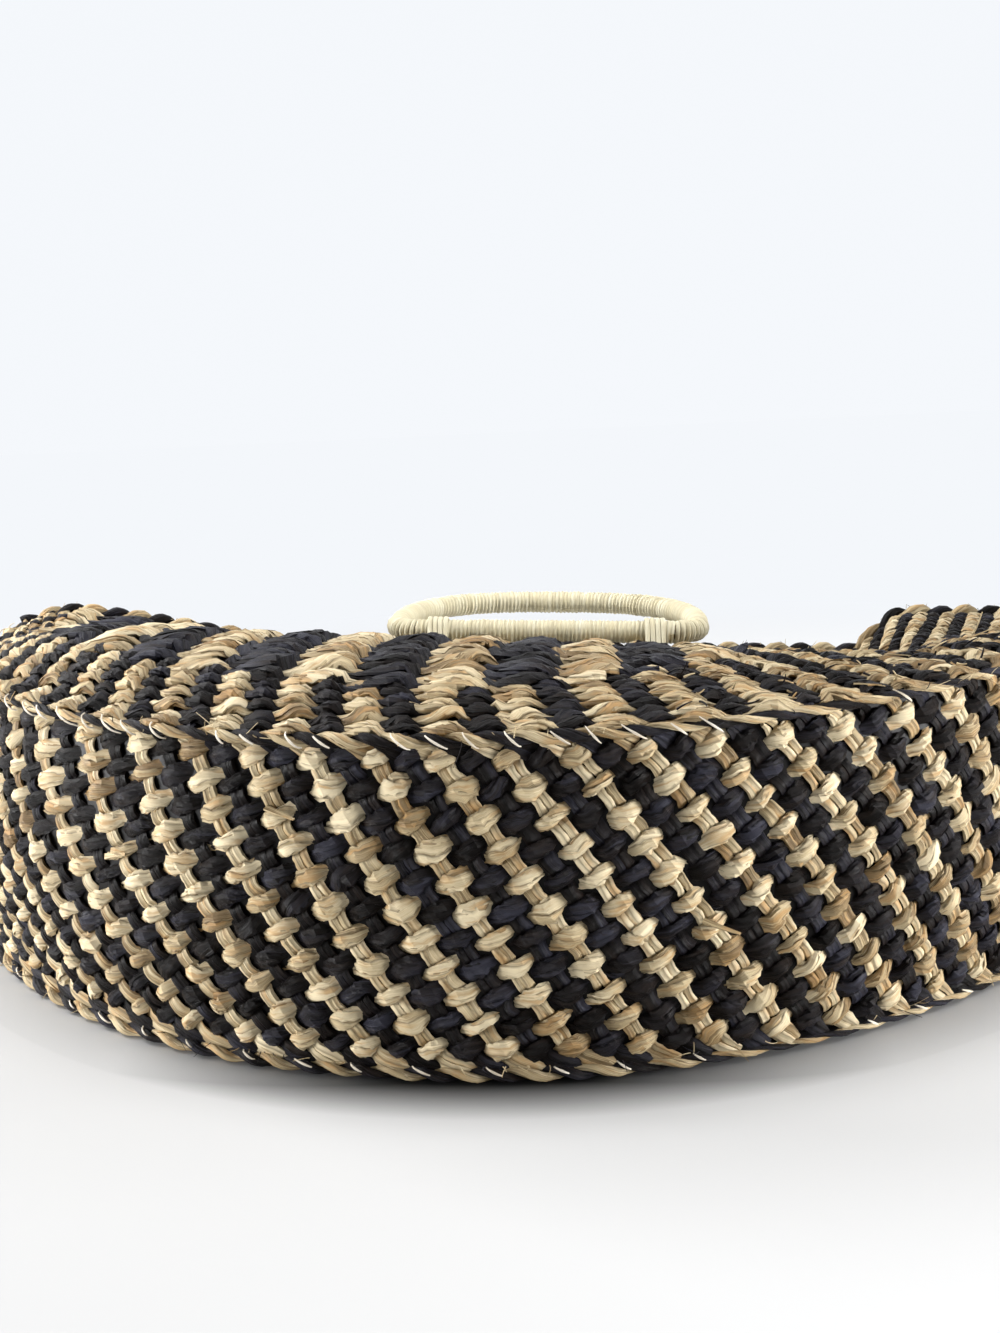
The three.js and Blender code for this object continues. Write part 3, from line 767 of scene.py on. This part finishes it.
LOW_FIBRES, HIGH_FIBRES, RIM_FIBRES, TUFT_FIBRES, TORN_FIBRES = 110, 120, 130, 14, 420
OVER_RIM, OVER_PANEL, OVER_GUSSET = 3.5, 3.4, 3.0
LOW_UP, LOW_OUT, HIGH_DOWN, HIGH_OUT = 4.0, 5.0, 1.0, 4.5
RIM_REACH, TUFT_X, TUFT_SPREAD = 280, -198, 5
TORN_X, TORN_Y, TORN_INSET = (70, 285), (0, 250), (1, 50)
low_at, low_way = seam_starts(LOW_FIBRES, lambda y: back_z(y) + LOW_UP, LOW_OUT)
high_at, high_way = seam_starts(HIGH_FIBRES, lambda y: border_z(y) - HIGH_DOWN, HIGH_OUT)


def over_rim(x):
    return np.stack([x, np.full_like(x, RIM_Y), front_z(x, np.full_like(x, HEIGHT)) + OVER_RIM], -1)


rim_at = over_rim(rng.uniform(-RIM_REACH, RIM_REACH, RIM_FIBRES))
tuft_at = over_rim(rng.normal(TUFT_X, TUFT_SPREAD, TUFT_FIBRES))
torn_x, torn_y = rng.uniform(*TORN_X, TORN_FIBRES), rng.uniform(*TORN_Y, TORN_FIBRES)
torn = (inset(torn_x, torn_y) > TORN_INSET[0]) & (inset(torn_x, torn_y) < TORN_INSET[1])
torn_at = front_sheet(torn_x[torn], torn_y[torn]) + OVER_PANEL * ABOVE
# Starts, directions, length, half width, part of black ones and spread
groups = [
    (torn_at, np.broadcast_to(np.array([0.7, -0.5, 0.1]), torn_at.shape), 7.0, 0.5, 0.35, 0.4),
    (low_at, low_way + 0.2 * ABOVE, 6.0, 0.22, 0.35, 0.6),
    (high_at, 0.7 * high_way + 0.5 * ABOVE, 6.5, 0.22, 0.4, 0.6),
    (rim_at, np.broadcast_to(ABOVE, rim_at.shape), 3.2, 0.18, 0.4, 1.2),
    (tuft_at, np.broadcast_to(np.array([-0.8, -0.5, 0.2]), tuft_at.shape), 5.5, 0.6, 1.0, 0.2),
]
# Strand ends that stand out of the gusset: their places along it and up, and their directions
STRAND_END = (13.0, 1.7, 0.0, 0.05)
for along, up, way in (
    (-89, 98, (1.0, -0.5, -0.15)),
    (65, 52, (1.0, -0.45, -0.25)),
    (-150, 70, (0.8, -0.6, 0.2)),
):
    start = gusset_sheet(np.array([along]), np.array([up])) - OVER_GUSSET * FORWARD
    groups.append((start, np.array([way]), *STRAND_END))
frayed("loose_fibres", groups)


# Handles: a close winding of twine round the bent rod
TWINE_PITCH, TURN_POINTS, TWINE_HALF, TURN_UNEVEN, TURN_SMOOTH = 2.45, 12, 1.5, 0.14, 5
BEND_POINTS, ARCH_POINTS, BAR_POINTS = 60, 240, 60
WRAP_WOBBLE, TWINE_WOBBLE, TWINE_TONE, TWINE_TONE_WOBBLE = 0.06, 0.07, 0.5, (0.14, 5)


def d_line(count):
    quarter = np.linspace(0, math.pi / 2, BEND_POINTS)
    right = np.stack([BAR_HALF + CORNER_RADIUS * np.sin(quarter), CORNER_RADIUS * (1 - np.cos(quarter))], -1)
    half = np.linspace(0, math.pi, ARCH_POINTS)
    across = np.sign(np.cos(half)) * np.abs(np.cos(half)) ** (2 / ARCH_POWER)
    up = np.abs(np.sin(half)) ** (2 / ARCH_POWER)
    arch_half, arch_rise = BAR_HALF + CORNER_RADIUS, HANDLE_DEPTH - CORNER_RADIUS
    arch = np.stack([arch_half * across, CORNER_RADIUS + arch_rise * up], -1)
    left = right[::-1] * np.array([-1, 1])
    bar = np.stack([np.linspace(-BAR_HALF, BAR_HALF, BAR_POINTS), np.zeros(BAR_POINTS)], -1)
    line = np.concatenate([right, arch[1:], left[1:], bar[1:]])
    run = np.concatenate([[0], np.cumsum(np.hypot(*np.diff(line, axis=0).T))])
    at = np.linspace(0, run[-1], count)
    return np.stack([np.interp(at, run, line[:, 0]), np.interp(at, run, line[:, 1])], -1), run[-1]


def turned(axis, angle):
    return np.array(Matrix.Rotation(angle, 3, axis))


def handle(side, rim_z, slope, bar_rise, tilt):
    turns = int(d_line(2)[1] / TWINE_PITCH)
    line, _ = d_line(turns * TURN_POINTS + 1)
    ahead = unit(np.gradient(line, axis=0))
    out = np.stack([ahead[:, 1], -ahead[:, 0]], -1)
    a = 2 * math.pi * np.arange(len(line)) / TURN_POINTS
    uneven = np.repeat(rng.normal(0, 1, turns + 1), TURN_POINTS)[: len(line)]
    uneven = TURN_UNEVEN * np.convolve(uneven, np.ones(TURN_SMOOTH) / TURN_SMOOTH, "same")
    radius = WRAP_RADIUS - TWINE_RADIUS + wobble(len(line), WRAP_WOBBLE) + uneven
    flat = line + out * (radius * np.cos(a))[:, None]
    local = np.stack([flat[:, 0], flat[:, 1], radius * np.sin(a)], -1)
    off = np.stack([out[:, 0] * np.cos(a), out[:, 1] * np.cos(a), np.sin(a)], -1)
    lean, roll = turned("X", tilt), turned("Y", -math.atan(slope))
    place = (local @ lean.T + np.array([0, BAR_OUT, bar_rise])) @ roll.T + np.array([0, RIM_Y, rim_z])
    strands = Strands()
    half_width = TWINE_HALF * (1 + wobble(len(line), TWINE_WOBBLE))
    tone = TWINE_TONE + wobble(len(line), *TWINE_TONE_WOBBLE)
    strands.add(place, off @ lean.T @ roll.T, half_width, TWINE_RADIUS, tone=tone)
    body = side + "_handle"
    strands.build(body + "_winding", twine, body, "handle_twine", [body + "_wrap", body + "_binding"])


# The lashings go round rim and bar like a belt
LASH_OUT, LASH_HALF, LASH_FLAT, LASH_POINTS, LASH_SIDES, ARC_POINTS = 0.5, 1.4, 0.65, 40, 8, 24
LASH_TONE, LASH_TONE_WOBBLE = 0.45, (0.1, 5)


def arc(centre, radius, start, end):
    a = np.linspace(start, end, ARC_POINTS)
    return np.stack([centre[0] + radius * np.cos(a), centre[1] + radius * np.sin(a)], -1)


def lashing(name, x, rim_z, slope, lean):
    rim_turn = RIM_RADIUS + LASH_CLEARANCE + LASH_OUT
    bar_turn = WRAP_RADIUS + LASH_CLEARANCE + LASH_OUT
    open_ = math.acos((rim_turn - bar_turn) / BAR_OFFSET)
    bar = np.array([math.cos(lean), math.sin(lean)]) * BAR_OFFSET
    belt = np.concatenate([
        arc((0, 0), rim_turn, lean + math.pi, lean + 2 * math.pi - open_),
        arc(bar, bar_turn, lean - open_, lean + open_),
        arc((0, 0), rim_turn, lean + open_, lean + math.pi),
    ])
    run = np.concatenate([[0], np.cumsum(np.hypot(*np.diff(belt, axis=0).T))])
    keep = np.concatenate([[True], np.diff(run) > LEAST_STEP])
    at = np.linspace(0, 1, LASH_POINTS, endpoint=False) * run[-1]
    loop = np.stack([np.interp(at, run[keep], belt[keep, k]) for k in (0, 1)], -1)
    i = np.arange(LASH_TURNS * LASH_POINTS + 1)
    along = x - LASH_TURNS * LASH_PITCH / 2 + LASH_PITCH * i / LASH_POINTS
    path = np.stack([along, loop[i % LASH_POINTS, 0], loop[i % LASH_POINTS, 1]], -1)
    up = path - np.array([0.0, bar[0] / 2, bar[1] / 2])
    up[:, 0] = 0
    roll = turned("Y", -math.atan(slope))
    strands = Strands()
    place = path @ roll.T + np.array([0, RIM_Y, rim_z])
    tone = LASH_TONE + wobble(len(path), *LASH_TONE_WOBBLE)
    strands.add(place, unit(up) @ roll.T, LASH_HALF, LASH_FLAT, sides=LASH_SIDES, tone=tone)
    strands.build(name + "_twine", twine, "bag", "handle_twine", name)


front_rim_z, back_rim_z = float(front_z(0.0, HEIGHT)), float(back_z(HEIGHT))
back_tilt = -math.asin((back_rim_z - BAR_RISE - WRAP_RADIUS) / HANDLE_DEPTH)
handle("front", front_rim_z, MOUTH_TILT, BAR_RISE, 0.0)
handle("back", back_rim_z, 0.0, -BAR_RISE, back_tilt)
for hand, x in (("left", -LASH_X), ("right", LASH_X)):
    lashing(f"front_{hand}_lashing", x, front_rim_z, MOUTH_TILT, BAR_LEAN)
for hand, x in (("left", -LASH_X), ("right", LASH_X)):
    lashing(f"back_{hand}_lashing", x, back_rim_z, 0.0, -BAR_LEAN)

# The bent rods stay as solids with a wood material
rod = straw_material(
    "rattan", dark=(0.20, 0.11, 0.04), mid=(0.34, 0.20, 0.08), light=(0.48, 0.31, 0.14),
    stain=(0.28, 0.15, 0.05), rough=(0.4, 0.6), bump=0.3,
)
for node in ("front_handle_core", "back_handle_core"):
    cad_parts[node].data.materials.clear()
    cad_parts[node].data.materials.append(rod)

# Floor, bright backdrop, light and camera
BACK_LIGHT, WORLD_COLOUR, WORLD_STRENGTH = (0.905, 0.93, 0.965), (0.915, 0.94, 0.965, 1), 0.205
STAGE_HALF, STAGE_BACK, BACKDROP_LOW, BACKDROP_HIGH = 6, 3, -1, 6
STAGE_ROUGH, STAGE_SPECULAR = 0.7, 0.1
# The floor's glow starts and is full so far from the middle, in metres
GLOW_FROM, GLOW_FULL = 0.45, 0.78
# The painted shade under the base, darkening the floor's grey: in parts of the outline, to the sides in
# metres and behind in millimetres
SHADE_OUT, SHADE_DARK = (1.012, 1.095), 0.03
SHADE_SIDES, SIDE_MOST, SHADE_BEHIND = (0.03, 0.15), 0.95, (100, 250)
# The floor's grey, and painted light across it: darker at the left and lighter at the right, reaching so far
# each side in metres
FLOOR_GREY, PAINTED_LIGHT_REACH, PAINTED_SHADE_LEFT, PAINTED_LIGHT_RIGHT = 0.51, 0.3, 0.86, 1.22


def stage_plane(name, corners, light):
    mesh = bpy.data.meshes.new(name)
    mesh.from_pydata(corners, [], [(0, 1, 2, 3)])
    obj = bpy.data.objects.new(name, mesh)
    bpy.context.scene.collection.objects.link(obj)
    material, tree, shader = new_material(name)
    shader.inputs["Base Color"].default_value = (0, 0, 0, 1)
    shader.inputs["Roughness"].default_value = STAGE_ROUGH
    shader.inputs["Specular IOR Level"].default_value = STAGE_SPECULAR
    shader.inputs["Emission Color"].default_value = (*light, 1)
    shader.inputs["Emission Strength"].default_value = 1.0
    mesh.materials.append(material)
    return tree, shader


def corners(first, last):
    return [(x * STAGE_HALF, *point) for x, point in ((-1, first), (1, first), (1, last), (-1, last))]


floor_tree, floor_shader = stage_plane("floor", corners((-STAGE_BACK, 0), (STAGE_BACK, 0)), (0, 0, 0))
stage_plane("backdrop", corners((STAGE_BACK, BACKDROP_LOW), (STAGE_BACK, BACKDROP_HIGH)), BACK_LIGHT)

# Away from the tote the floor takes on the even light of the backdrop
new, link = floor_tree.nodes.new, floor_tree.links.new
where, away, fade = new("ShaderNodeTexCoord"), new("ShaderNodeVectorMath"), new("ShaderNodeMapRange")
away.operation = "LENGTH"
link(where.outputs["Object"], away.inputs[0])
fade.interpolation_type = "SMOOTHSTEP"
fade.inputs["From Min"].default_value, fade.inputs["From Max"].default_value = GLOW_FROM, GLOW_FULL
link(away.outputs["Value"], fade.inputs["Value"])
# Close under the base the floor's grey is darkened: painted shade of the tote, on top of its real shade
part, square, depth = new("ShaderNodeSeparateXYZ"), new("ShaderNodeCombineXYZ"), new("ShaderNodeVectorMath")
link(where.outputs["Object"], part.inputs[0])


def floor_range(value, low, high, start, end):
    node = new("ShaderNodeMapRange")
    node.inputs["From Min"].default_value, node.inputs["From Max"].default_value = low, high
    node.inputs["To Min"].default_value, node.inputs["To Max"].default_value = start, end
    link(value, node.inputs["Value"])
    return node.outputs["Result"]


middle_y = (BASE_Y + ROUND_DEPTH) * MM
half_width, round_depth = HALF_WIDTH * MM, ROUND_DEPTH * MM
link(floor_range(part.outputs["X"], -1, 1, -1 / half_width, 1 / half_width), square.inputs["X"])
link(floor_range(part.outputs["Y"], middle_y - 1, middle_y, 1 / round_depth, 0), square.inputs["Y"])
depth.operation = "LENGTH"
link(square.outputs[0], depth.inputs[0])
side_way = new("ShaderNodeMath")
side_way.operation = "ABSOLUTE"
link(part.outputs["X"], side_way.inputs[0])


def floor_math(kind, a, b):
    node = new("ShaderNodeMath")
    node.operation = kind
    link(a, node.inputs[0])
    link(b, node.inputs[1])
    return node.outputs[0]


# Painted shade: the floor darkens near the outline at the front, less towards the sides, and not behind the
# base
near, far = ((BASE_Y + v) * MM for v in SHADE_BEHIND)
edge = floor_range(depth.outputs["Value"], *SHADE_OUT, SHADE_DARK, 1)
sides = floor_range(side_way.outputs[0], *SHADE_SIDES, 0.0, SIDE_MOST)
behind = floor_range(part.outputs["Y"], near, far, 0, 1)
shade = floor_math("MAXIMUM", edge, floor_math("MAXIMUM", sides, behind))
# Painted light: the floor's grey runs from darker at the left to lighter at the right
across = floor_range(part.outputs["X"], -PAINTED_LIGHT_REACH, PAINTED_LIGHT_REACH, PAINTED_SHADE_LEFT, PAINTED_LIGHT_RIGHT)
grey_with_painted_light = floor_math("MULTIPLY", floor_range(shade, 0, 1, 0, FLOOR_GREY), across)
link(grey_with_painted_light, floor_shader.inputs["Base Color"])
glow, mixed = new("ShaderNodeEmission"), new("ShaderNodeMixShader")
glow.inputs["Color"].default_value = (*BACK_LIGHT, 1)
link(fade.outputs["Result"], mixed.inputs["Fac"])
link(floor_shader.outputs["BSDF"], mixed.inputs[1])
link(glow.outputs["Emission"], mixed.inputs[2])
link(mixed.outputs["Shader"], floor_tree.nodes["Material Output"].inputs["Surface"])
world = bpy.data.worlds.new("studio")
world.use_nodes = True
world.node_tree.nodes["Background"].inputs["Color"].default_value = WORLD_COLOUR
world.node_tree.nodes["Background"].inputs["Strength"].default_value = WORLD_STRENGTH
bpy.context.scene.world = world


def area_light(name, place, target, size, power):
    data = bpy.data.lights.new(name, "AREA")
    data.shape, data.size, data.size_y, data.energy = "RECTANGLE", size[0], size[1], power
    obj = bpy.data.objects.new(name, data)
    obj.location = place
    obj.rotation_euler = (Vector(target) - Vector(place)).to_track_quat("-Z", "Y").to_euler()
    bpy.context.scene.collection.objects.link(obj)


area_light("left", (-1.6, -0.45, 0.17), (-0.1, -0.1, 0.08), (1.0, 0.28), 48)
area_light("right", (1.6, -0.45, 0.17), (0.1, -0.1, 0.08), (1.0, 0.28), 45)
area_light("front", (0.0, -2.2, 0.25), (0, -0.2, 0.08), (1.0, 0.4), 0.6)
area_light("top", (-0.1, -0.02, 1.7), (-0.1, -0.02, 0.05), (0.8, 0.6), 20)
area_light("upper_left", (-1.1, 0.3, 0.8), (-0.25, 0.05, 0.1), (0.6, 0.5), 18)
area_light("upper_right", (1.1, 0.0, 0.8), (0.2, -0.1, 0.05), (0.6, 0.5), 6)
bpy.context.scene.view_settings.view_transform = "Standard"

FOCAL_PX, PICTURE_PX, SENSOR = 1740.0, 1333, 36.0
PITCH, YAW, ROLL = math.radians(11.85), math.radians(5.59), math.radians(-3.04)
CAMERA = Vector((0.0688, (BASE_Y - 598) * MM, 0.283))
camera_data = bpy.data.cameras.new("camera")
camera_data.sensor_fit, camera_data.sensor_height = "VERTICAL", SENSOR
camera_data.lens = FOCAL_PX / PICTURE_PX * SENSOR
camera_data.clip_start = 0.01
camera = bpy.data.objects.new("camera", camera_data)
camera.matrix_world = (
    Matrix.Translation(CAMERA) @ Matrix.Rotation(YAW, 4, "Z")
    @ Matrix.Rotation(math.pi / 2 - PITCH, 4, "X") @ Matrix.Rotation(ROLL, 4, "Z")
)
bpy.context.scene.collection.objects.link(camera)
bpy.context.scene.camera = camera
